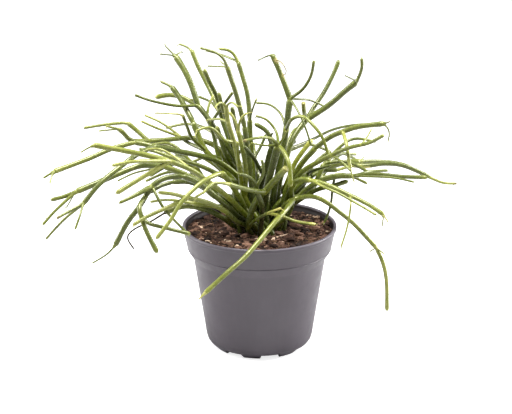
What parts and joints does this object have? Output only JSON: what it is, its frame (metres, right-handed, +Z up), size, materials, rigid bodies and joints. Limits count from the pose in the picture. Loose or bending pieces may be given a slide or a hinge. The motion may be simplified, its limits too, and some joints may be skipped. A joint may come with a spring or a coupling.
{
  "type": "mistletoe cactus",
  "caption": "Mistletoe cactus in a nursery pot: thin, round, leafless stems that rise from the soil, fork and arch over the pot's stepped rim.",
  "frame": {"origin": "On the surface that the pot stands on, under the middle of the plant's bounding box, which is on the pot's axis.", "axes": "+Z up, +X to the right and -Y to the front, as the plant is pictured. The plant is widest along X."},
  "size_m": [0.3173, 0.2128, 0.2454],
  "materials": {
    "pot plastic": "satin",
    "potting soil": "matte",
    "deep green stem": "satin",
    "fresh green stem": "satin"
  },
  "bodies": {
    "root": {"pot": "pot plastic", "soil": "potting soil", "shoot_arc_right": "deep green stem", "shoot_back_1": "fresh green stem", "shoot_back_2": "fresh green stem", "shoot_back_3": "fresh green stem", "shoot_back_4": "fresh green stem", "shoot_back_5": "fresh green stem", "shoot_back_6": "fresh green stem", "shoot_back_7": "fresh green stem", "shoot_centre_broad": "deep green stem", "shoot_centre_tall": "deep green stem", "shoot_centre_yellow": "fresh green stem", "shoot_crown_fork": "deep green stem", "shoot_crown_left": "deep green stem", "shoot_cut_front": "deep green stem", "shoot_droop_right": "fresh green stem", "shoot_far_left": "deep green stem", "shoot_far_right": "deep green stem", "shoot_flat_right": "deep green stem", "shoot_fork_right": "deep green stem", "shoot_front_left": "fresh green stem", "shoot_inner_front": "deep green stem", "shoot_inner_left": "deep green stem", "shoot_inner_low": "deep green stem", "shoot_inner_middle": "deep green stem", "shoot_inner_right": "deep green stem", "shoot_left_back": "fresh green stem", "shoot_left_forks": "deep green stem", "shoot_left_high": "deep green stem", "shoot_left_low": "deep green stem", "shoot_left_mid": "fresh green stem", "shoot_left_pale": "fresh green stem", "shoot_low_right": "fresh green stem", "shoot_over_rim": "deep green stem", "shoot_rim_left": "deep green stem", "shoot_rim_left_thin": "fresh green stem", "shoot_split_top": "deep green stem", "shoot_upright_back": "fresh green stem", "shoot_upright_front": "deep green stem"}
  },
  "joints": []
}
